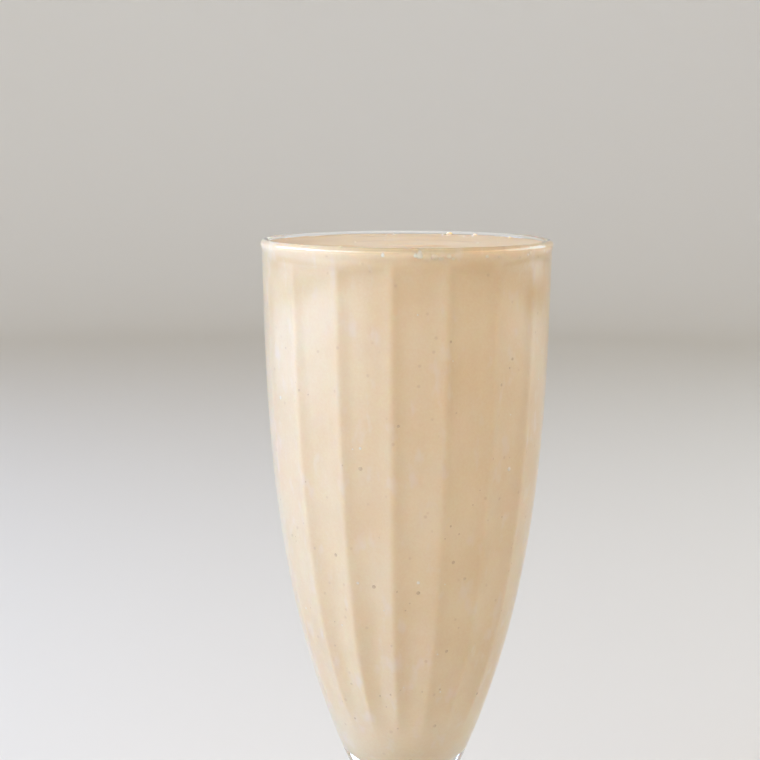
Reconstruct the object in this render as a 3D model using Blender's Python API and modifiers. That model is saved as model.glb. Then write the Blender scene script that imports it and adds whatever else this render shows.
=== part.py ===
"""Vanilla milkshake in a tall footed glass.

The glass is smooth outside and has broad upright flutes pressed into its inner
wall, so the drink takes up the fluted shape. Lengths are in metres, +Z is up,
and the origin is at the middle of the foot's underside. Depths are measured
down from the top of the rim.
"""

import math

import bmesh
import bpy

# Whole glass
HEIGHT = 0.200
MOUTH_RADIUS = 0.0415  # outside, just under the rim's bead
TURN_STEPS = 64

# Rim
RIM_WALL = 0.0024
BEAD_PROUD = 0.00035
BEAD_DEPTH = 0.0013  # depth of the bead's widest ring
BEAD_END = 0.0030
RIM_ARC_STEPS = 3

# Bowl, outside: radius = MOUTH_RADIUS - BOWL_TAPER * depth - BOWL_CURVE * depth ** 3
BOWL_TAPER = 0.0222
BOWL_CURVE = 6.08
BOWL_END = 0.158
BOWL_RINGS = 13

# Neck and foot
NECK_RADIUS = 0.0094
NECK_DEPTH = 0.174
NECK_RINGS = 3
FOOT_RADIUS = 0.0375
FOOT_EDGE = 0.0034  # thickness of the foot at its edge
FOOT_FLARE_POWER = 1.3
FOOT_RINGS = 7
REST_OUTER = 0.0366  # the flat ring that the glass stands on
REST_INNER = 0.0290
UNDERSIDE_RISE = 0.0016  # how far the underside domes up at its middle

# Cavity: wall = RIM_WALL + WALL_GAIN * depth, thicker below WALL_SWELL_START
WALL_GAIN = 0.006
WALL_SWELL = 2.2  # per metre
WALL_SWELL_START = 0.105
CAVITY_SIDE_END = 0.1435
CAVITY_DEPTH = 0.1518
CAVITY_CORNER_RINGS = 4
CAVITY_CORNER_TURN = 0.85  # how far round the corner curve the flat floor starts
CUTTER_ABOVE = 0.002

# Flutes
FLUTES = 16
STEPS_PER_FLUTE = 4
FLUTE_RISE = 0.00125  # inward from the wall at a flute's middle, at the mouth
FLUTE_DEEPENING = 9.0  # per metre of depth
RIDGE_TURN = math.radians(-6.1)  # one ridge's angle from the front, seen from above
RIDGE_ROUNDING = 0.15
RIDGE_SHARPNESS = 2.2  # down to SHARP_DEPTH; it eases to 1 at SOFT_DEPTH
SHARP_DEPTH = 0.035
SOFT_DEPTH = 0.085
FLUTE_TOP = (0.0032, 0.0080)  # depths where the flutes start and reach full rise
FLUTE_FOOT = (0.126, 0.142)  # depths where they begin to fade and are gone

# Milkshake
LEVEL_DEPTH = 0.00115
DRINK_GAP = 0.0003

BODY_DEPTHS = (0.028, 0.046, 0.064, 0.082, 0.098, 0.112)


def bowl_radius(depth):
    return MOUTH_RADIUS - BOWL_TAPER * depth - BOWL_CURVE * depth**3


def wall(depth):
    swell = max(0.0, depth - WALL_SWELL_START)
    return RIM_WALL + WALL_GAIN * depth + WALL_SWELL * swell**2


def ease(value, start, end):
    t = min(1.0, max(0.0, (value - start) / (end - start)))
    return t * t * (3 - 2 * t)


def steps(start, end, count):
    """Evenly spaced values from start up to, but without, end."""
    return [start + (end - start) * i / count for i in range(count)]


def flute_rise(angle, depth):
    """How far the wall stands in from its unfluted place, at this angle and depth."""
    fade = ease(depth, *FLUTE_TOP) * (1 - ease(depth, *FLUTE_FOOT))
    front = -math.pi / 2 + RIDGE_TURN
    across = math.sin((angle - front) * FLUTES / 2)
    crest = math.sqrt(1 + RIDGE_ROUNDING**2) - RIDGE_ROUNDING
    rounded = (math.sqrt(across**2 + RIDGE_ROUNDING**2) - RIDGE_ROUNDING) / crest
    share = min(1.0, max(0.0, (SOFT_DEPTH - depth) / (SOFT_DEPTH - SHARP_DEPTH)))
    sharpness = 1 + (RIDGE_SHARPNESS - 1) * share
    pressed = 1 - max(0.0, 1 - rounded) ** sharpness
    deeper = 1 + FLUTE_DEEPENING * depth
    return FLUTE_RISE * deeper * fade * pressed * bowl_radius(depth) / MOUTH_RADIUS


def material(name, colour, roughness, transmission=0.0):
    made = bpy.data.materials.new(name)
    made.use_nodes = True
    shader = made.node_tree.nodes["Principled BSDF"]
    shader.inputs["Base Color"].default_value = (*colour, 1)
    shader.inputs["Roughness"].default_value = roughness
    shader.inputs["Transmission Weight"].default_value = transmission
    return made


def new_object(name, build, collection):
    """An object whose mesh is what build adds to an empty bmesh."""
    mesh = bpy.data.meshes.new(name)
    bm = bmesh.new()
    build(bm)
    bm.to_mesh(mesh)
    bm.free()
    obj = bpy.data.objects.new(name, mesh)
    collection.objects.link(obj)
    return obj


def outside_profile():
    """(radius, depth) points of the glass's outside, from the axis at the rim down to the foot's middle."""
    crest = MOUTH_RADIUS + (BEAD_PROUD - RIM_WALL) / 2
    half_wall = (RIM_WALL + BEAD_PROUD) / 2
    points = [(0.0, 0.0)]
    for t in steps(0, math.pi / 2, RIM_ARC_STEPS):
        points.append((crest + half_wall * math.sin(t), BEAD_DEPTH * (1 - math.cos(t))))
    points.append((MOUTH_RADIUS + BEAD_PROUD, BEAD_DEPTH))
    points.append((MOUTH_RADIUS + BEAD_PROUD / 2, (BEAD_DEPTH + BEAD_END) / 2))
    for depth in steps(BEAD_END, BOWL_END, BOWL_RINGS):
        points.append((bowl_radius(depth), depth))
    points += neck_profile() + foot_profile()
    return points


def neck_profile():
    """A quadratic curve from the bowl's end into the upright neck."""
    start = bowl_radius(BOWL_END)
    slope = BOWL_TAPER + 3 * BOWL_CURVE * BOWL_END**2
    corner = BOWL_END + (start - NECK_RADIUS) / slope
    points = []
    for t in steps(0, 1, NECK_RINGS):
        radius = start * (1 - t) ** 2 + NECK_RADIUS * (2 * t * (1 - t) + t * t)
        depth = BOWL_END * (1 - t) ** 2 + corner * 2 * t * (1 - t) + NECK_DEPTH * t * t
        points.append((radius, depth))
    return points


def foot_profile():
    """The flare from the neck to the foot's edge, the rounded edge, the rest ring and the domed underside."""
    edge_round = FOOT_EDGE / 2
    span = FOOT_RADIUS - edge_round - NECK_RADIUS
    rise = HEIGHT - NECK_DEPTH - FOOT_EDGE
    points = []
    for t in steps(0, math.pi / 2, FOOT_RINGS):
        height = FOOT_EDGE + rise * (1 - math.sin(t)) ** FOOT_FLARE_POWER
        points.append((NECK_RADIUS + span * (1 - math.cos(t)), HEIGHT - height))
    for t in steps(-math.pi / 2, math.pi / 4, 3):
        across = FOOT_RADIUS - edge_round + edge_round * math.cos(t)
        points.append((across, HEIGHT - edge_round + edge_round * math.sin(t)))
    points.append((REST_OUTER, HEIGHT))
    points.append((REST_INNER, HEIGHT))
    points.append((REST_INNER * 0.6, HEIGHT - UNDERSIDE_RISE * 0.64))
    points.append((0.0, HEIGHT - UNDERSIDE_RISE))
    return points


def add_outside(bm):
    points = [bm.verts.new((radius, 0, HEIGHT - depth)) for radius, depth in outside_profile()]
    for start, end in zip(points, points[1:]):
        bm.edges.new((start, end))


def cavity_sides(top):
    """Depths of the cavity's rings from top down to its lowest corner."""
    depths = [top] + steps(FLUTE_TOP[0], FLUTE_TOP[1], 3) + [FLUTE_TOP[1]]
    depths += BODY_DEPTHS
    depths += steps(FLUTE_FOOT[0], FLUTE_FOOT[1], 3) + [FLUTE_FOOT[1]]
    depths.append(CAVITY_SIDE_END)
    return depths


def add_lofted_rings(bm, rings):
    """Closes a stack of rings, given from the top down, into a solid."""
    loops = []
    for ring in rings:
        loops.append([bm.verts.new(point) for point in ring])
    for upper, lower in zip(loops, loops[1:]):
        for i in range(len(upper)):
            j = (i + 1) % len(upper)
            bm.faces.new((upper[i], lower[i], lower[j], upper[j]))
    bm.faces.new(loops[0])
    bm.faces.new(reversed(loops[-1]))


def fluted_rings(top, gap):
    """Rings of the fluted cavity from depth top down to its floor, drawn in by gap."""
    count = FLUTES * STEPS_PER_FLUTE
    angles = [-math.pi / 2 + RIDGE_TURN + 2 * math.pi * i / count for i in range(count)]
    rings = []
    for depth in cavity_sides(top):
        ring = []
        for angle in angles:
            radius = bowl_radius(depth) - wall(depth) - flute_rise(angle, depth) - gap
            ring.append((radius * math.cos(angle), radius * math.sin(angle), HEIGHT - depth))
        rings.append(ring)
    corner_radius = bowl_radius(CAVITY_SIDE_END) - wall(CAVITY_SIDE_END) - gap
    corner_drop = CAVITY_DEPTH - CAVITY_SIDE_END - gap
    above = CAVITY_SIDE_END - 0.001
    slope = (bowl_radius(above) - wall(above) - gap - corner_radius) / 0.001
    floor_radius = corner_radius - slope * corner_drop
    for i in range(1, CAVITY_CORNER_RINGS + 1):
        t = CAVITY_CORNER_TURN * i / CAVITY_CORNER_RINGS
        radius = corner_radius * (1 - t) ** 2 + floor_radius * 2 * t * (1 - t)
        share = (1 - (1 - t) ** 2) / (1 - (1 - CAVITY_CORNER_TURN) ** 2)
        height = HEIGHT - CAVITY_SIDE_END - corner_drop * share
        rings.append([(radius * math.cos(a), radius * math.sin(a), height) for a in angles])
    return angles, rings


def add_cavity(bm):
    """The cutter: the fluted cavity, opened out over the rim's rounded inner edge."""
    angles, rings = fluted_rings(BEAD_DEPTH, 0.0)
    crest = MOUTH_RADIUS + (BEAD_PROUD - RIM_WALL) / 2
    inner = MOUTH_RADIUS - RIM_WALL
    mouth = []
    for radius, depth in (
        (crest, -CUTTER_ABOVE),
        (crest, -BEAD_DEPTH / 8),
        (inner + (crest - inner) * 0.35, BEAD_DEPTH * 0.3),
    ):
        mouth.append([(radius * math.cos(a), radius * math.sin(a), HEIGHT - depth) for a in angles])
    add_lofted_rings(bm, mouth + rings)


def add_milkshake(bm):
    _, rings = fluted_rings(LEVEL_DEPTH, DRINK_GAP)
    add_lofted_rings(bm, rings)


def smooth(obj):
    obj.data.shade_smooth()
    obj.data.set_sharp_from_angle(angle=math.radians(35))


def make_glass(parts, cutters):
    glass = new_object("glass", add_outside, parts)
    turn = glass.modifiers.new("turn", "SCREW")
    turn.steps = TURN_STEPS
    turn.render_steps = TURN_STEPS
    turn.use_merge_vertices = True
    turn.merge_threshold = 0.00001
    turn.use_smooth_shade = True
    cavity = new_object("cavity_cutter", add_cavity, cutters)
    cavity.hide_render = True
    cavity.display_type = "WIRE"
    hollow = glass.modifiers.new("hollow", "BOOLEAN")
    hollow.operation = "DIFFERENCE"
    hollow.solver = "EXACT"
    hollow.object = cavity
    glass.data.materials.append(material("clear_glass", (0.93, 0.95, 0.95), 0.03, 1.0))
    return glass


def make_milkshake(parts):
    drink = new_object("milkshake", add_milkshake, parts)
    drink.data.materials.append(material("vanilla_milkshake", (0.84, 0.69, 0.50), 0.35))
    smooth(drink)
    return drink


for old in list(bpy.data.objects):
    bpy.data.objects.remove(old)

parts = bpy.data.collections.new("vanilla_milkshake")
cutters = bpy.data.collections.new("cutters")
bpy.context.scene.collection.children.link(parts)
bpy.context.scene.collection.children.link(cutters)

make_glass(parts, cutters)
make_milkshake(parts)
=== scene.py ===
import math

import bpy
import numpy as np
from mathutils import Matrix, Vector, noise


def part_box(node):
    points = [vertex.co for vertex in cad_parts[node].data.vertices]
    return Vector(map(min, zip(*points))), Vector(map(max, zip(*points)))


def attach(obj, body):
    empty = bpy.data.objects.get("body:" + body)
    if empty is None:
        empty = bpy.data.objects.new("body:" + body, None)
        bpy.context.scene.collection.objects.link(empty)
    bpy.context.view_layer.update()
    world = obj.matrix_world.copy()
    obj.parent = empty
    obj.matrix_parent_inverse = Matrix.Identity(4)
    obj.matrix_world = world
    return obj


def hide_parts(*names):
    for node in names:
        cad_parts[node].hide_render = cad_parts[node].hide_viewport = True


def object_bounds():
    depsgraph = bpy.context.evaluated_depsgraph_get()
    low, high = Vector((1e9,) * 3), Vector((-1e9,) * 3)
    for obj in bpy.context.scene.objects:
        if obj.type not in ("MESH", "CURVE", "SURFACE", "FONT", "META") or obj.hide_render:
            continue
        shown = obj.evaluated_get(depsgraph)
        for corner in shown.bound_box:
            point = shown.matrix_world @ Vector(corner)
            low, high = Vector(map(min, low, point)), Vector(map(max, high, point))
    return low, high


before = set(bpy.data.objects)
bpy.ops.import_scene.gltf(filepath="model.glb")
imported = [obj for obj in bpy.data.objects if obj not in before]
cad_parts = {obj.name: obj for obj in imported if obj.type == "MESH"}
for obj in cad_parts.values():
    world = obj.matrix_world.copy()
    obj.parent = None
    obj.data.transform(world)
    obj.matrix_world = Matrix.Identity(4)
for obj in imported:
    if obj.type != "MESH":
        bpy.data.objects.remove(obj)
cad_low, cad_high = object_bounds()


# The glass: clear pressed soda-lime glass, smooth outside, with sixteen upright flutes that
# the plunger leaves on its inner wall. The wall swells into a thick bottom, and a short neck
# runs out into a round foot with a flat ring to stand on.

HEIGHT = cad_high.z
BEAD_RADIUS = cad_high.x
BEAD_PROUD = 0.00035
BEAD_DEPTH = 0.0013
BEAD_END = 0.0030
MOUTH_RADIUS = BEAD_RADIUS - BEAD_PROUD
RIM_WALL = 0.0024
BOWL_TAPER = 0.0222
BOWL_CURVE = 6.08
BOWL_END = 0.158
NECK_RADIUS = 0.0094
NECK_DEPTH = 0.174
FOOT_RADIUS = 0.0375
FOOT_EDGE = 0.0034
FOOT_FLARE_POWER = 1.3
REST_OUTER = 0.0366
REST_INNER = 0.0290
UNDERSIDE_RISE = 0.0016
WALL_GAIN = 0.006
WALL_SWELL = 2.2
WALL_SWELL_START = 0.105
CAVITY_SIDE_END = 0.1435
CAVITY_DEPTH = 0.1518
CORNER_RINGS = 16
SLOPE_STEP = 0.001

FLUTES = 16
SIDES_PER_FLUTE = 18
FLUTE_RISE = 0.00125
FLUTE_DEEPENING = 9.0
# Depths below the rim over which the flutes start and end
FLUTE_TOP = (0.0032, 0.0080)
FLUTE_FOOT = (0.126, 0.142)
RIDGE_ANGLE = math.radians(-96.1)
RIDGE_ROUNDING = 0.15
RIDGE_SHARPNESS = 2.2
# The ridges are sharpest down to the first depth, and plain from the second
SHARP_DEPTH = 0.035
SOFT_DEPTH = 0.085


class Wire:
    """A node's output. Arithmetic on it adds Math nodes to its tree."""

    def __init__(self, plan, socket):
        self.plan = plan
        self.socket = socket

    def __getitem__(self, name):
        """Another output of the same node."""
        return Wire(self.plan, self.socket.node.outputs[name])

    def __add__(self, other):
        return self.plan.math("ADD", self, other)

    def __radd__(self, other):
        return self.plan.math("ADD", other, self)

    def __sub__(self, other):
        return self.plan.math("SUBTRACT", self, other)

    def __rsub__(self, other):
        return self.plan.math("SUBTRACT", other, self)

    def __mul__(self, other):
        return self.plan.math("MULTIPLY", self, other)

    def __rmul__(self, other):
        return self.plan.math("MULTIPLY", other, self)

    def __truediv__(self, other):
        return self.plan.math("DIVIDE", self, other)

    def __pow__(self, other):
        return self.plan.math("POWER", self, other)


class Plan:
    """A node tree, and the one way that nodes are added to it."""

    def __init__(self, tree):
        self.tree = tree

    def add(self, kind, settings, inputs):
        """A node of this type, with its settings and then its sockets set. Gives its first output."""
        node = self.tree.nodes.new(kind)
        for name, value in settings.items():
            setattr(node, name, value)
        for name, value in inputs.items():
            if isinstance(value, Wire):
                self.tree.links.new(value.socket, node.inputs[name])
            else:
                node.inputs[name].default_value = value
        return Wire(self, node.outputs[0]) if node.outputs else None

    def math(self, operation, *values):
        return self.add("ShaderNodeMath", {"operation": operation}, dict(enumerate(values)))

    def colour(self, share, low, high):
        """A colour between low and high."""
        ends = [end if isinstance(end, Wire) else (*end, 1) for end in (low, high)]
        inputs = {0: share, 6: ends[0], 7: ends[1]}
        return self.add("ShaderNodeMix", {"data_type": "RGBA"}, inputs)[2]


def shape_plan(name, sizes):
    """A new geometry tree with these named inputs: its plan, and the inputs by name."""
    tree = bpy.data.node_groups.new(name, "GeometryNodeTree")
    sockets = {"Geometry": "Geometry", **sizes, "Material": "Material"}
    for socket, kind in sockets.items():
        tree.interface.new_socket(socket, in_out="INPUT", socket_type="NodeSocket" + kind)
    tree.interface.new_socket("Geometry", in_out="OUTPUT", socket_type="NodeSocketGeometry")
    plan = Plan(tree)
    entry = plan.add("NodeGroupInput", {}, {})
    return plan, {socket: entry[socket] for socket in sockets}


def end_shape(plan, shape, material):
    """Ends a geometry tree with real, smooth faces of one material."""
    smooth = plan.add("GeometryNodeSetShadeSmooth", {}, {"Geometry": shape})
    real = plan.add("GeometryNodeRealizeInstances", {}, {"Geometry": smooth})
    painted = plan.add("GeometryNodeSetMaterial", {}, {"Geometry": real, "Material": material})
    plan.add("NodeGroupOutput", {}, {"Geometry": painted})
    return plan.tree


def make_plain(obj, tree, sizes):
    """Runs a geometry tree on an object with the sizes given, and leaves a plain mesh."""
    modifier = obj.modifiers.new("shape", "NODES")
    modifier.node_group = tree
    for item in tree.interface.items_tree:
        if item.in_out == "INPUT" and item.name in sizes:
            modifier[item.identifier] = sizes[item.name]
    graph = bpy.context.evaluated_depsgraph_get()
    mesh = bpy.data.meshes.new_from_object(obj.evaluated_get(graph))
    obj.modifiers.remove(modifier)
    mesh.name = obj.name
    mesh.materials.pop(index=0)  # the primitives bring an empty slot of their own
    obj.data = mesh


def turning_tree():
    """Turns a profile line, drawn in X and Z, round the Z axis and presses flutes into it.

    The attribute rise says how far a flute's middle stands in from each of the line's points.
    The ridges between flutes are plain at the soft height and sharpest at the sharp height.
    """
    plan, given = shape_plan(
        "turned_and_fluted",
        {
            "Sides": "Int",
            "Flutes": "Int",
            "Ridge Angle": "Float",
            "Ridge Rounding": "Float",
            "Ridge Sharpness": "Float",
            "Sharp Height": "Float",
            "Soft Height": "Float",
        },
    )
    line = given["Geometry"]
    rounding = given["Ridge Rounding"]
    size = plan.add("GeometryNodeAttributeDomainSize", {"component": "MESH"}, {"Geometry": line})
    count = size["Point Count"]
    grid = plan.add("GeometryNodeMeshGrid", {}, {"Vertices X": given["Sides"] + 1, "Vertices Y": count})
    index = plan.add("GeometryNodeInputIndex", {}, {})
    column = plan.math("FLOOR", (index + 0.5) / count)

    def from_line(kind, value):
        settings = {"data_type": kind, "domain": "POINT"}
        inputs = {"Geometry": line, "Value": value, "Index": index - column * count}
        return plan.add("GeometryNodeSampleIndex", settings, inputs)

    position = plan.add("GeometryNodeInputPosition", {}, {})
    rise = plan.add("GeometryNodeInputNamedAttribute", {"data_type": "FLOAT"}, {"Name": "rise"})
    place = plan.add("ShaderNodeSeparateXYZ", {}, {"Vector": from_line("FLOAT_VECTOR", position)})
    angle = column * math.tau / given["Sides"]
    across = plan.math("SINE", (angle - given["Ridge Angle"]) * given["Flutes"] * 0.5)
    scallop = plan.math("SQRT", across * across + rounding * rounding) - rounding
    full_scallop = plan.math("SQRT", 1 + rounding * rounding) - rounding
    sharpness = plan.add("ShaderNodeMapRange", {}, {
        "Value": place["Z"],
        "From Min": given["Soft Height"],
        "From Max": given["Sharp Height"],
        "To Min": 1.0,
        "To Max": given["Ridge Sharpness"],
    })
    pressed = 1 - plan.math("MAXIMUM", 1 - scallop / full_scallop, 0.0) ** sharpness
    radius = place["X"] - from_line("FLOAT", rise) * pressed
    point = plan.add("ShaderNodeCombineXYZ", {}, {
        "X": radius * plan.math("COSINE", angle),
        "Y": radius * plan.math("SINE", angle),
        "Z": place["Z"],
    })
    turned = plan.add("GeometryNodeSetPosition", {}, {"Geometry": grid, "Position": point})
    sealed = plan.add("GeometryNodeMergeByDistance", {}, {"Geometry": turned, "Distance": 1e-6})
    return end_shape(plan, sealed, given["Material"])


def turned(name, profile, material):
    """An object turned from (radius, height, flute rise) points."""
    mesh = bpy.data.meshes.new(name)
    corners = [(float(radius), 0.0, float(height)) for radius, height, _ in profile]
    mesh.from_pydata(corners, [(i, i + 1) for i in range(len(corners) - 1)], [])
    rises = mesh.attributes.new("rise", "FLOAT", "POINT")
    rises.data.foreach_set("value", [float(rise) for _, _, rise in profile])
    obj = bpy.data.objects.new(name, mesh)
    bpy.context.scene.collection.objects.link(obj)
    make_plain(obj, TURNING, {
        "Sides": FLUTES * SIDES_PER_FLUTE,
        "Flutes": FLUTES,
        "Ridge Angle": RIDGE_ANGLE,
        "Ridge Rounding": RIDGE_ROUNDING,
        "Ridge Sharpness": RIDGE_SHARPNESS,
        "Sharp Height": HEIGHT - SHARP_DEPTH,
        "Soft Height": HEIGHT - SOFT_DEPTH,
        "Material": material,
    })
    return obj


def ease(value, start, end):
    t = min(1.0, max(0.0, (value - start) / (end - start)))
    return t * t * (3 - 2 * t)


def bowl_radius(depth):
    return MOUTH_RADIUS - BOWL_TAPER * depth - BOWL_CURVE * depth**3


def inner_radius(depth):
    swell = max(0.0, depth - WALL_SWELL_START)
    return bowl_radius(depth) - RIM_WALL - WALL_GAIN * depth - WALL_SWELL * swell**2


def flute_rise(depth):
    fade = ease(depth, *FLUTE_TOP) * (1 - ease(depth, *FLUTE_FOOT))
    deeper = 1 + FLUTE_DEEPENING * depth
    return FLUTE_RISE * deeper * fade * bowl_radius(depth) / MOUTH_RADIUS


def steps(start, end, count):
    """Evenly spaced values from start up to, but without, end."""
    return np.linspace(start, end, count, endpoint=False)


def foot_profile():
    """From the middle of the domed underside, over the rest ring and the edge, up to the neck."""
    points = [(r, UNDERSIDE_RISE * (1 - (r / REST_INNER) ** 2), 0) for r in steps(0, REST_INNER, 12)]
    points += [(r, 0, 0) for r in steps(REST_INNER, REST_OUTER, 4)]
    half_edge = FOOT_EDGE / 2
    for t in steps(-math.pi / 2, 0, 8):
        across = REST_OUTER + (FOOT_RADIUS - REST_OUTER) * math.cos(t)
        points.append((across, half_edge + half_edge * math.sin(t), 0))
    for t in steps(0, math.pi / 2, 8):
        across = FOOT_RADIUS - half_edge + half_edge * math.cos(t)
        points.append((across, half_edge + half_edge * math.sin(t), 0))
    span = FOOT_RADIUS - half_edge - NECK_RADIUS
    climb = HEIGHT - NECK_DEPTH - FOOT_EDGE
    for t in steps(math.pi / 2, 0, 30):
        height = FOOT_EDGE + climb * (1 - math.sin(t)) ** FOOT_FLARE_POWER
        points.append((NECK_RADIUS + span * (1 - math.cos(t)), height, 0))
    return points


def neck_profile():
    """A quadratic curve from the upright neck out into the bowl."""
    top_radius = bowl_radius(BOWL_END)
    slope = BOWL_TAPER + 3 * BOWL_CURVE * BOWL_END**2
    corner = BOWL_END + (top_radius - NECK_RADIUS) / slope
    points = []
    for t in steps(1, 0, 12):
        radius = top_radius * (1 - t) ** 2 + NECK_RADIUS * (1 - (1 - t) ** 2)
        depth = BOWL_END * (1 - t) ** 2 + corner * 2 * t * (1 - t) + NECK_DEPTH * t * t
        points.append((radius, HEIGHT - depth, 0))
    return points


def rim_profile():
    """The bead outside, and the rim's rounded crest over to the inner wall."""
    points = []
    for depth in steps(BEAD_END, BEAD_DEPTH, 6):
        proud = BEAD_PROUD * (1 - ease(depth, BEAD_DEPTH, BEAD_END))
        points.append((bowl_radius(depth) + proud, HEIGHT - depth, 0))
    inner = inner_radius(BEAD_DEPTH)
    outer = bowl_radius(BEAD_DEPTH) + BEAD_PROUD
    for t in steps(0, math.pi, 16):
        radius = (outer + inner) / 2 + (outer - inner) / 2 * math.cos(t)
        points.append((radius, HEIGHT - BEAD_DEPTH * (1 - math.sin(t)), 0))
    return points


def cavity_profile(top, reach):
    """The cavity from depth top down to the middle of its floor, moved into the wall by reach.

    A quadratic curve rounds the corner between the side and the floor.
    """
    depths = [*steps(top, FLUTE_TOP[0], 3), *steps(*FLUTE_TOP, 10)]
    depths += [*steps(FLUTE_TOP[1], FLUTE_FOOT[0], 50), *steps(FLUTE_FOOT[0], CAVITY_SIDE_END, 24)]
    points = [(inner_radius(d) + reach, HEIGHT - d, flute_rise(d)) for d in depths]
    side_radius = inner_radius(CAVITY_SIDE_END) + reach
    drop = CAVITY_DEPTH - CAVITY_SIDE_END + reach
    slope = (inner_radius(CAVITY_SIDE_END - SLOPE_STEP) + reach - side_radius) / SLOPE_STEP
    for t in np.linspace(0, 1, CORNER_RINGS):
        radius = side_radius * (1 - t) ** 2 + (side_radius - slope * drop) * 2 * t * (1 - t)
        points.append((radius, HEIGHT - CAVITY_SIDE_END - drop * (1 - (1 - t) ** 2), 0))
    return points


def end_material(plan, sockets):
    """Ends a material with a Principled shader that has these values and links."""
    shader = plan.add("ShaderNodeBsdfPrincipled", {}, sockets)
    plan.add("ShaderNodeOutputMaterial", {}, {"Surface": shader})


def material_plan(name):
    """A new empty material and the plan of its tree."""
    material = bpy.data.materials.new(name)
    material.use_nodes = True
    material.node_tree.nodes.clear()
    return material, Plan(material.node_tree)


def clear_glass():
    """Polished clear glass, with the very faint waves that pressing leaves."""
    material, plan = material_plan("clear_glass")
    place = plan.add("ShaderNodeTexCoord", {}, {})["Object"]
    waves = plan.add("ShaderNodeTexNoise", {}, {"Vector": place, "Scale": 70.0, "Detail": 1.0})
    bump = plan.add("ShaderNodeBump", {}, {"Height": waves, "Strength": 0.12, "Distance": 0.0004})
    end_material(plan, {
        "Base Color": (0.985, 0.995, 0.99, 1),
        "Roughness": 0.0,
        "IOR": 1.52,
        "Transmission Weight": 1.0,
        "Normal": bump,
    })
    return material


TURNING = turning_tree()

bowl_profile = [(bowl_radius(d), HEIGHT - d, 0) for d in steps(BOWL_END, BEAD_END, 60)]
glass = turned(
    "fluted_glass",
    foot_profile() + neck_profile() + bowl_profile + rim_profile() + cavity_profile(BEAD_DEPTH, 0.0),
    clear_glass(),
)
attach(glass, "root")
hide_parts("glass")


# The milkshake: vanilla ice cream blended with milk, poured almost to the rim. It is thick and
# opaque, fills the flutes, and keeps a few lazy folds on top from the last of the pour.

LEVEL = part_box("milkshake")[1].z
WALL_REACH = 0.0002
MENISCUS_RISE = 0.00025
MENISCUS_WIDTH = 0.0012
DISH_DEPTH = 0.0010
SURFACE_RINGS = 70
SIDE_DROP = 0.0006
UPWARD = 0.5
# Each low wave over the top: its height, its pace in each metre, and its level in the noise
WAVES = (
    (0.00016, 90, 0.3),
    (0.00005, 420, 1.7),
)
# Each fold is an arc: centre x and y, radius, first and last angle in degrees, height, half width
FOLDS = (
    (0.004, 0.014, 0.0157, -135, -48, 0.00050, 0.0014),
    (-0.018, 0.006, 0.0145, -138, -58, 0.00042, 0.0012),
    (0.000, 0.001, 0.0240, 120, 255, 0.00012, 0.0060),
    (0.002, -0.002, 0.0200, 20, 150, 0.00036, 0.0022),
    (0.001, 0.000, 0.0315, 60, 128, 0.00026, 0.0020),
    (-0.002, 0.001, 0.0290, 170, 228, 0.00024, 0.0019),
)
FOLD_ENDS = 0.35
# Counted in half widths: a fold's steep outer side, its gentle inner side, and its line of painted
# shade
FOLD_STEEP = 0.6
FOLD_GENTLE = 1.5
FOLD_SHADE_OFFSET = 1.2
DRIFT_SHARE = 0.7
FLECK_SHARE = 0.3
# How far the top's colour goes toward the painted shade colour: all over, and more beside the folds
TOP_SHADE_SHARE = 0.18
FOLD_SHADE_SHARE = 0.60
SHAKE_DEEP = (0.86, 0.68, 0.44)
SHAKE_PALE = (0.90, 0.75, 0.53)
# Painted shade colour, used on the top, beside the folds and in the air pockets at the wall
SHAKE_SHADE = (0.68, 0.50, 0.32)
SHAKE_SMEAR = (0.90, 0.76, 0.60)
SHAKE_SCATTER = (0.0014, 0.0009, 0.0005)


def fold_at(x, y, fold):
    """A fold's height at a point, and the strength of the painted shade along its steep outer side."""
    centre_x, centre_y, radius, first, last, height, half_width = fold
    off = (math.hypot(x - centre_x, y - centre_y) - radius) / half_width
    angle = math.degrees(math.atan2(y - centre_y, x - centre_x))
    share = ((angle - first) % 360) / (last - first)
    if share > 1:
        return 0.0, 0.0
    ends = ease(share, 0, FOLD_ENDS) * ease(1 - share, 0, FOLD_ENDS)
    ridge = math.exp(-((off / (FOLD_STEEP if off > 0 else FOLD_GENTLE)) ** 2))
    return height * ends * ridge, ends * math.exp(-((off - FOLD_SHADE_OFFSET) ** 2))


def surface_at(x, y):
    """How far the drink's top stands above its level at a point, and how much painted shade it has."""
    folds = [fold_at(x, y, fold) for fold in FOLDS]
    waves = sum(height * noise.noise((x * pace, y * pace, level)) for height, pace, level in WAVES)
    tone = min(1.0, sum(hollow for _, hollow in folds))
    return waves + sum(height for height, _ in folds), tone


def shake_colour(plan, place):
    """Vanilla cream, with slightly paler and deeper drifts where it is more or less frothy."""
    drifts = plan.add("ShaderNodeTexNoise", {}, {"Vector": place, "Scale": 55.0, "Detail": 3.0})
    flecks = plan.add("ShaderNodeTexNoise", {}, {"Vector": place, "Scale": 1400.0, "Detail": 2.0})
    share = plan.add("ShaderNodeMapRange", {}, {
        "Value": drifts * DRIFT_SHARE + flecks * FLECK_SHARE,
        "From Min": 0.38,
        "From Max": 0.64,
    })
    return plan.colour(share, SHAKE_DEEP, SHAKE_PALE)


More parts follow.
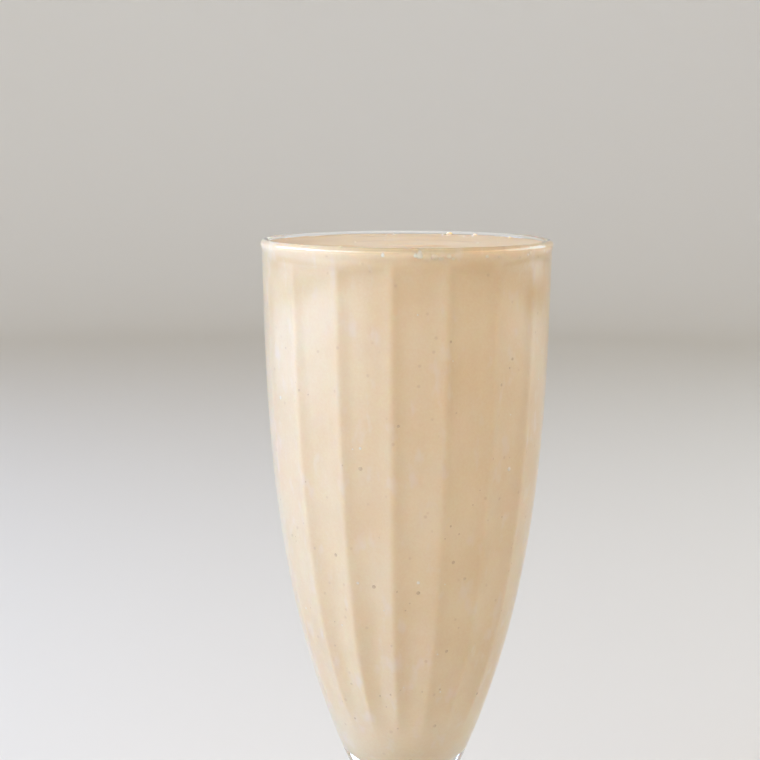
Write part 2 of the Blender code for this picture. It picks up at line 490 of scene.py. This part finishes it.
def shake_at_wall():
    """Milkshake held flat against the glass, which leaves it no shine of its own.

    Small pockets of air just behind its face show as soft spots of painted shade, and smears of fine
    froth as paler drifts.
    """
    material, plan = material_plan("shake_at_wall")
    place = plan.add("ShaderNodeTexCoord", {}, {})["Object"]
    stretched = plan.add("ShaderNodeVectorMath", {"operation": "MULTIPLY"}, {0: place, 1: (1, 1, 0.5)})
    smears = plan.add("ShaderNodeTexNoise", {}, {"Vector": stretched, "Scale": 230.0, "Detail": 3.0})
    smeared = plan.add("ShaderNodeMapRange", {}, {
        "Value": smears, "From Min": 0.58, "From Max": 0.70, "To Max": 0.8,
    })
    # Painted shade of small air pockets behind the drink's face, as soft darker spots
    cells = plan.add("ShaderNodeTexVoronoi", {}, {"Vector": place, "Scale": 190.0})
    air_pocket_shade = plan.add("ShaderNodeMapRange", {"interpolation_type": "SMOOTHSTEP"}, {
        "Value": cells, "From Min": 0.04, "From Max": 0.13, "To Min": 0.4, "To Max": 0.0,
    })
    pale = plan.colour(smeared, shake_colour(plan, place), SHAKE_SMEAR)
    end_material(plan, {
        "Base Color": plan.colour(air_pocket_shade, pale, SHAKE_SHADE),
        "Roughness": 0.7,
        "Specular IOR Level": 0.05,
        "Subsurface Weight": 0.6,
        "Subsurface Radius": SHAKE_SCATTER,
        "Subsurface Scale": 1.0,
    })
    return material


def shake_on_top():
    """The milkshake's open top: wet, with a fine grain of broken froth, and painted shade that darkens
    it all over and more beside the folds.
    """
    material, plan = material_plan("shake_on_top")
    place = plan.add("ShaderNodeTexCoord", {}, {})["Object"]
    hollow = plan.add("ShaderNodeAttribute", {"attribute_name": "hollow"}, {})["Fac"]
    froth = plan.add("ShaderNodeTexVoronoi", {}, {"Vector": place, "Scale": 1500.0})
    bump = plan.add("ShaderNodeBump", {}, {"Height": froth, "Strength": 0.12, "Distance": 0.0002})
    # Painted shade: the top is mixed part way toward the shade colour everywhere, and further beside
    # the folds
    tone = hollow * FOLD_SHADE_SHARE + TOP_SHADE_SHARE
    end_material(plan, {
        "Base Color": plan.colour(tone, shake_colour(plan, place), SHAKE_SHADE),
        "Roughness": 0.42,
        "Specular IOR Level": 0.25,
        "Subsurface Weight": 0.6,
        "Subsurface Radius": SHAKE_SCATTER,
        "Subsurface Scale": 1.0,
        "Normal": bump,
    })
    return material


edge_radius = inner_radius(HEIGHT - LEVEL) + WALL_REACH
top_profile = []
for radius in np.linspace(edge_radius, 0, SURFACE_RINGS):
    meniscus = MENISCUS_RISE * math.exp((radius - edge_radius) / MENISCUS_WIDTH)
    dish = DISH_DEPTH * (1 - (radius / edge_radius) ** 2)
    top_profile.append((radius, LEVEL + meniscus - dish, 0))
shake = turned(
    "milkshake_body",
    cavity_profile(HEIGHT - LEVEL + SIDE_DROP, WALL_REACH)[::-1] + top_profile,
    shake_at_wall(),
)
shake.data.materials.append(shake_on_top())
hollows = shake.data.attributes.new("hollow", "FLOAT", "POINT")
on_top = set()
for face in shake.data.polygons:
    if face.normal.z > UPWARD:
        face.material_index = 1
        on_top.update(face.vertices)
# Painted shade: each top vertex keeps how much shade is painted beside the folds there
for vertex, hollow in zip(shake.data.vertices, hollows.data):
    if vertex.index in on_top:
        rise, hollow.value = surface_at(vertex.co.x, vertex.co.y)
        vertex.co.z += rise
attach(shake, "root")
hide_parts("milkshake")


# Air in the milkshake: bubbles from the blender, held against the glass, where most show as
# small spots painted deep tan for the shade inside them, and a few as pale froth. They are
# scattered thinly, with loose clusters.

WALL_BUBBLES_PER_M2 = 6000.0
WALL_BUBBLE_SIZES = (0.00022, 0.00060)
WALL_BUBBLE_FLATNESS = 0.35
# Depths below the rim over which the bubbles start and end
WALL_BUBBLES_TOP = (0.006, 0.03)
WALL_BUBBLES_FOOT = (0.138, 0.143)
# Their share at the rim, and the depth that adds one whole share
SHARE_AT_RIM = 0.5
SHARE_DEPTH = 0.1
# Painted shade inside the bubbles at the wall, from deep to light tan
BUBBLE_SHADE_DEEP = (0.70, 0.53, 0.34)
BUBBLE_SHADE_LIGHT = (0.82, 0.66, 0.46)
BUBBLE_FROTHY = (0.93, 0.85, 0.74)
FROTHY_FROM = 0.78


def bubble_tree():
    """Scatters flattened bubbles over the faces that the attribute share marks, in loose clusters.

    Each bubble keeps one random number in the attribute tone.
    """
    plan, given = shape_plan("bubbles", {
        "Density": "Float",
        "Smallest": "Float",
        "Largest": "Float",
        "Flatness": "Float",
        "Cluster Scale": "Float",
        "Seed": "Int",
    })
    share = plan.add("GeometryNodeInputNamedAttribute", {"data_type": "FLOAT"}, {"Name": "share"})
    clusters = plan.add("ShaderNodeTexNoise", {}, {"Scale": given["Cluster Scale"], "Detail": 2.0})
    crowding = plan.add("ShaderNodeMapRange", {}, {
        "Value": clusters, "From Min": 0.42, "From Max": 0.72, "To Min": 0.12, "To Max": 2.6,
    })
    points = plan.add("GeometryNodeDistributePointsOnFaces", {}, {
        "Mesh": given["Geometry"],
        "Density": given["Density"] * share * crowding,
        "Seed": given["Seed"],
    })
    draw = {"data_type": "FLOAT"}
    size = plan.add("FunctionNodeRandomValue", draw, {"Seed": given["Seed"] + 1})[1]
    radius = given["Smallest"] + (given["Largest"] - given["Smallest"]) * size**3
    scale = {"X": radius, "Y": radius, "Z": radius * given["Flatness"]}
    ball = plan.add("GeometryNodeMeshIcoSphere", {}, {"Radius": 1.0, "Subdivisions": 3})
    placed = plan.add("GeometryNodeInstanceOnPoints", {}, {
        "Points": points,
        "Instance": ball,
        "Rotation": points["Rotation"],
        "Scale": plan.add("ShaderNodeCombineXYZ", {}, scale),
    })
    tone = plan.add("FunctionNodeRandomValue", draw, {"Seed": given["Seed"] + 2})[1]
    settings = {"data_type": "FLOAT", "domain": "INSTANCE"}
    toned = plan.add("GeometryNodeStoreNamedAttribute", settings, {
        "Geometry": placed, "Name": "tone", "Value": tone,
    })
    return end_shape(plan, toned, given["Material"])


def wall_bubble_material():
    """Painted shade, deep to light tan, for most bubbles, and pale cream for the frothy ones."""
    material, plan = material_plan("bubbles_at_wall")
    tone = plan.add("ShaderNodeAttribute", {"attribute_name": "tone"}, {})["Fac"]
    frothy = plan.math("GREATER_THAN", tone, FROTHY_FROM)
    # Painted shade: most bubbles get a tan between the deep and light shade colours
    tan = plan.colour(tone, BUBBLE_SHADE_DEEP, BUBBLE_SHADE_LIGHT)
    end_material(plan, {
        "Base Color": plan.colour(frothy, tan, BUBBLE_FROTHY),
        "Roughness": 0.6,
        "Specular IOR Level": 0.1,
    })
    return material


def scattered(name, source, share, sizes):
    """An object of bubbles on the faces of source.

    The function share gives each vertex's share of them.
    """
    obj = bpy.data.objects.new(name, source.data.copy())
    bpy.context.scene.collection.objects.link(obj)
    marks = obj.data.attributes.new("share", "FLOAT", "POINT")
    marks.data.foreach_set("value", [share(vertex.co) for vertex in obj.data.vertices])
    make_plain(obj, BUBBLES, sizes)
    return obj


def wall_share(point):
    """The bubbles grow more crowded downwards, between their first and last depths."""
    depth = HEIGHT - point.z
    fade = ease(depth, *WALL_BUBBLES_TOP) * (1 - ease(depth, *WALL_BUBBLES_FOOT))
    return fade * (SHARE_AT_RIM + depth / SHARE_DEPTH)


BUBBLES = bubble_tree()

wall_bubbles = scattered("air_bubbles_at_wall", shake, wall_share, {
    "Density": WALL_BUBBLES_PER_M2,
    "Smallest": WALL_BUBBLE_SIZES[0],
    "Largest": WALL_BUBBLE_SIZES[1],
    "Flatness": WALL_BUBBLE_FLATNESS,
    "Cluster Scale": 60.0,
    "Seed": 4,
    "Material": wall_bubble_material(),
})
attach(wall_bubbles, "root")


# Froth on the milkshake: small domed bubbles that have risen to the top and drifted to the
# wall, with a few left further in. At the right, a line of larger ones is pressed flat by the
# glass and shows through it, just under the level.

FROTH_PER_M2 = 160000.0
FROTH_SIZES = (0.00012, 0.00055)
FROTH_FLATNESS = 0.55
FROTH_SKIN = (0.92, 0.82, 0.68)
# Insets from the drink's edge over which the froth thickens, and then stops
FROTH_BAND = (0.004, 0.0012)
FROTH_STOP = (0.0007, 0.0003)
FROTH_FURTHER_IN = 0.04
FROTH_LOWEST = 1.2 * DISH_DEPTH
FROTH_RING_PER_M2 = 260000.0
FROTH_RING_SIZES = (0.00050, 0.00110)
FROTH_RING_FLATNESS = 0.28
FROTH_RING_SKIN = (0.94, 0.83, 0.68)
# The line's limits: insets from the edge, places across, and depths below the level
FROTH_RING_BAND = (0.0012, 0.0006)
FROTH_RING_SIDE = (-0.008, 0.004)
FROTH_RING_TOP = (0.0002, 0.0008)
FROTH_RING_FOOT = (0.0012, 0.0022)


def froth_material(name, palest):
    """Wet cream skins, paler than the drink."""
    material, plan = material_plan(name)
    tone = plan.add("ShaderNodeAttribute", {"attribute_name": "tone"}, {})["Fac"]
    end_material(plan, {
        "Base Color": plan.colour(tone, SHAKE_PALE, palest),
        "Roughness": 0.35,
        "Specular IOR Level": 0.25,
        "Subsurface Weight": 0.5,
        "Subsurface Radius": SHAKE_SCATTER,
        "Subsurface Scale": 0.5,
    })
    return material


def within(point, insets):
    """0 at the first inset from the drink's edge and 1 at the second, which is nearer to it."""
    far, near = insets
    return ease(math.hypot(point.x, point.y), edge_radius - far, edge_radius - near)


def froth_share(point):
    """Most of the froth is within a few millimetres of the wall, and none is in the contact line."""
    if point.z < LEVEL - FROTH_LOWEST:
        return 0.0
    inside = 1 - within(point, FROTH_STOP)
    return inside * (FROTH_FURTHER_IN + (1 - FROTH_FURTHER_IN) * within(point, FROTH_BAND))


def froth_ring_share(point):
    """The froth that shows through the glass, in a line just under the level."""
    depth = LEVEL - point.z
    place = within(point, FROTH_RING_BAND) * ease(point.x, *FROTH_RING_SIDE)
    return place * ease(depth, *FROTH_RING_TOP) * (1 - ease(depth, *FROTH_RING_FOOT))


froth = scattered("froth_bubbles", shake, froth_share, {
    "Density": FROTH_PER_M2,
    "Smallest": FROTH_SIZES[0],
    "Largest": FROTH_SIZES[1],
    "Flatness": FROTH_FLATNESS,
    "Cluster Scale": 90.0,
    "Seed": 11,
    "Material": froth_material("froth_skin", FROTH_SKIN),
})
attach(froth, "root")

froth_ring = scattered("froth_ring_at_wall", shake, froth_ring_share, {
    "Density": FROTH_RING_PER_M2,
    "Smallest": FROTH_RING_SIZES[0],
    "Largest": FROTH_RING_SIZES[1],
    "Flatness": FROTH_RING_FLATNESS,
    "Cluster Scale": 45.0,
    "Seed": 23,
    "Material": froth_material("froth_at_wall", FROTH_RING_SKIN),
})
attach(froth_ring, "root")


# The studio: a pale round cove with five upright soft panels, cool at the left and the right
# back and warm at the front left and right, a warm panel overhead, and a dim warm room.

COVE_COLOUR = (0.76, 0.735, 0.65, 1)
FLOOR_RADIUS = 1.6
COVE_SWEEP = 0.6
COVE_HEIGHT = 1.2
FLOOR_GAP = 0.0001


def cove_material():
    """Matt paint."""
    material, plan = material_plan("cove_paint")
    end_material(plan, {"Base Color": COVE_COLOUR, "Roughness": 0.9, "Specular IOR Level": 0.2})
    return material


cove_profile = [(FLOOR_RADIUS + COVE_SWEEP, COVE_HEIGHT, 0)]
for t in np.linspace(math.pi / 2, 0, 24):
    across = FLOOR_RADIUS + COVE_SWEEP * math.sin(t)
    cove_profile.append((across, COVE_SWEEP * (1 - math.cos(t)), 0))
cove_profile += [(radius, 0, 0) for radius in np.linspace(FLOOR_RADIUS, 0, 12)[1:]]
cove = turned("cove", cove_profile, cove_material())
cove.data.transform(Matrix.Translation((0, 0, -FLOOR_GAP)))


PANEL_WIDTH = 1.6
PANEL_HEIGHT = 1.0
PANEL_DISTANCE = 1.35
PANEL_MIDDLE = 0.50
# Each upright panel: name, degrees round from the front with the right as plus, watts, colour
PANELS = (
    ("front_left_panel", -35, 11.2, (1.0, 0.90, 0.80)),
    ("left_panel", -65, 18.0, (0.43, 0.63, 1.0)),
    ("left_back_panel", -95, 21.0, (0.47, 0.61, 1.0)),
    ("right_panel", 70, 7.5, (1.0, 0.78, 0.59)),
    ("right_back_panel", 110, 12.8, (0.60, 0.76, 1.0)),
)
PANEL_GAIN = 1.5625  # one over the fade's mean, so that a panel still gives its watts
TOP_PANEL_SIDE = 1.4
TOP_PANEL_HEIGHT = 1.7
TOP_PANEL_WATTS = 5.0
TOP_PANEL_COLOUR = (1.0, 0.80, 0.55)
ROOM_COLOUR = (1.0, 0.82, 0.6, 1)
ROOM_STRENGTH = 0.27


def soft_panel(name, place, width, height, watts, colour):
    """An area light aimed at the glass.

    It fades out to its edges, so that no reflection has a hard outline.
    """
    light = bpy.data.lights.new(name, "AREA")
    light.shape = "RECTANGLE"
    light.size = width
    light.size_y = height
    light.energy = watts
    light.color = colour
    light.use_nodes = True
    light.node_tree.nodes.clear()
    plan = Plan(light.node_tree)
    spot = plan.add("ShaderNodeNewGeometry", {}, {})["Parametric"]
    share = plan.add("ShaderNodeSeparateXYZ", {}, {"Vector": spot})
    across = share["X"] * 2 - 1
    along = share["Y"] * 2 - 1
    fade = (1 - across**4) * (1 - along**4)
    glow = plan.add("ShaderNodeEmission", {}, {"Strength": fade * PANEL_GAIN})
    plan.add("ShaderNodeOutputLight", {}, {"Surface": glow})
    panel = bpy.data.objects.new(name, light)
    bpy.context.scene.collection.objects.link(panel)
    panel.location = place
    aim = Vector((0, 0, HEIGHT / 2)) - Vector(place)
    panel.rotation_euler = aim.to_track_quat("-Z", "Y").to_euler()
    panel.visible_camera = False


for name, degrees, watts, colour in PANELS:
    bearing = math.radians(degrees)
    place = (PANEL_DISTANCE * math.sin(bearing), -PANEL_DISTANCE * math.cos(bearing), PANEL_MIDDLE)
    soft_panel(name, place, PANEL_WIDTH, PANEL_HEIGHT, watts, colour)
overhead = (0, 0, TOP_PANEL_HEIGHT)
soft_panel("top_panel", overhead, TOP_PANEL_SIDE, TOP_PANEL_SIDE, TOP_PANEL_WATTS, TOP_PANEL_COLOUR)

room = bpy.data.worlds.new("room")
room.use_nodes = True
room.node_tree.nodes["Background"].inputs["Color"].default_value = ROOM_COLOUR
room.node_tree.nodes["Background"].inputs["Strength"].default_value = ROOM_STRENGTH
bpy.context.scene.world = room
bpy.context.scene.view_settings.view_transform = "Standard"


# The camera looks slightly down at the rim, and close enough to cut off the neck and foot.

SENSOR_WIDTH = 36
LENS_LENGTH = 103.07368
CAMERA_DISTANCE = 0.622
CAMERA_RISE = 0.0385
CAMERA_PITCH = math.radians(7.26)
CAMERA_YAW = math.radians(0.6977312)
CAMERA_ROLL = math.radians(0.15)

lens = bpy.data.cameras.new("camera")
lens.sensor_width = SENSOR_WIDTH
lens.lens = LENS_LENGTH
lens.clip_start = 0.01
camera = bpy.data.objects.new("camera", lens)
bpy.context.scene.collection.objects.link(camera)
camera.location = (0, -CAMERA_DISTANCE, HEIGHT + CAMERA_RISE)
aim = Matrix.Rotation(CAMERA_YAW, 4, "Z") @ Matrix.Rotation(math.pi / 2 - CAMERA_PITCH, 4, "X")
camera.rotation_euler = (aim @ Matrix.Rotation(CAMERA_ROLL, 4, "Z")).to_euler()
bpy.context.scene.camera = camera
